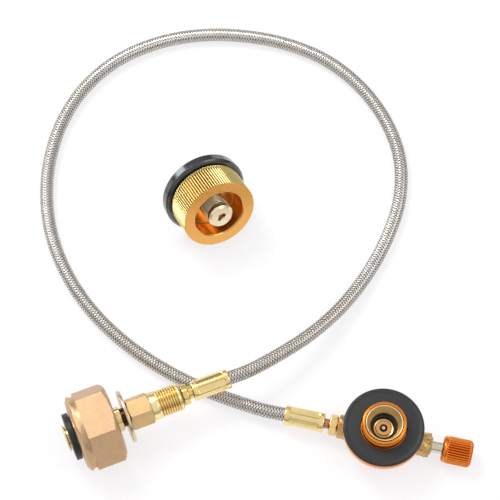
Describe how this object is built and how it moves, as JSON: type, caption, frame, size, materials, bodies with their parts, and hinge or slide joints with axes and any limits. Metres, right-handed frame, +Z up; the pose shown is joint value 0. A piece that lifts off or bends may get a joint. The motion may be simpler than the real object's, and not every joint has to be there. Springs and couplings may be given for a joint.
{
  "type": "propane regulator hose",
  "caption": "Braided gas refill hose with a hexagonal tank nut connector, a round screw-on valve head with a side knob, and a loose knurled nozzle adapter.",
  "frame": {"origin": "on the surface it lies on, under the middle of the fittings (the hose itself is left out)", "axes": "+Z up from the surface, +X from the tank connector towards the valve knob, +Y towards the far side of the hose loop"},
  "size_m": [0.1823, 0.2093, 0.0385],
  "materials": {
    "satin_brass": "sand-blasted satin",
    "bright_brass": "turned, bright",
    "cast_brass": "rough cast",
    "copper_tail": "drawn, reddish",
    "steel": "turned",
    "braided_steel": "woven wire braid",
    "orange_anodised": "orange anodised, satin",
    "gold_anodised": "gold anodised, satin",
    "black_rubber": "moulded, matt",
    "black_plastic": "moulded, glossy"
  },
  "bodies": {
    "hose_assembly": {"nipple": "bright_brass", "seal_washer": "black_rubber", "stop_disc": "bright_brass", "hex_adapter": "bright_brass", "nipple_o_ring": "black_rubber", "hose_tail_tank": "bright_brass", "ferrule_tank": "bright_brass", "hose": "braided_steel", "ferrule_valve": "bright_brass", "hose_tail_valve": "copper_tail", "union_nut": "bright_brass", "gland_nut": "cast_brass", "valve_body": "cast_brass", "valve_head": "orange_anodised", "support_pad": "black_rubber", "socket_ring": "bright_brass", "socket_core": "bright_brass", "socket_o_ring": "black_rubber", "opener_pin": "steel"},
    "nut_play": {"nut_slip_ring": "steel"},
    "tank_nut": {"coupling_nut": "satin_brass"},
    "spindle_seal": {"spindle_o_ring": "black_rubber"},
    "knob_and_spindle": {"spindle": "steel", "control_knob": "orange_anodised"},
    "adapter_poppet": {"adapter_poppet": "bright_brass"},
    "adapter": {"adapter_base": "black_plastic", "adapter_shell": "gold_anodised", "adapter_post": "bright_brass", "adapter_lock_ring": "bright_brass", "adapter_gasket": "black_rubber", "adapter_spring_plug": "bright_brass", "adapter_spring": "steel"}
  },
  "joints": [
    {"name": "nut_slide", "type": "slide", "parent": "hose_assembly", "child": "nut_play", "axis": [-0.9304, -0.3665, 0], "range_m": [-0.0035, 0.0085]},
    {"name": "nut_turn", "type": "hinge", "parent": "nut_play", "child": "tank_nut", "pos_m": [-0.0569, -0.0437, 0.015], "axis": [-0.9304, -0.3665, 0], "continuous": true},
    {"name": "spindle_travel", "type": "slide", "parent": "hose_assembly", "child": "spindle_seal", "axis": [0.9755, -0.2198, 0], "range_m": [0, 0.0015]},
    {"name": "knob_turn", "type": "hinge", "parent": "spindle_seal", "child": "knob_and_spindle", "pos_m": [0.0466, -0.0493, 0.0062], "axis": [0.9755, -0.2198, 0], "range_deg": [0, 722]},
    {"name": "adapter_lift", "type": "slide", "parent": "hose_assembly", "child": "adapter", "axis": [0, 0, 1], "range_m": [0, 0.06]},
    {"name": "poppet_press", "type": "slide", "parent": "adapter", "child": "adapter_poppet", "axis": [-0.4309, 0.8103, -0.3971], "range_m": [0, 0.0012], "stiffness_N_per_m": 300, "springref_m": -0.002, "deforming": ["adapter_spring"]}
  ],
  "couplings": [
    {"joint": "knob_turn", "follows": "spindle_travel", "rad_per_m": 8377.6}
  ]
}
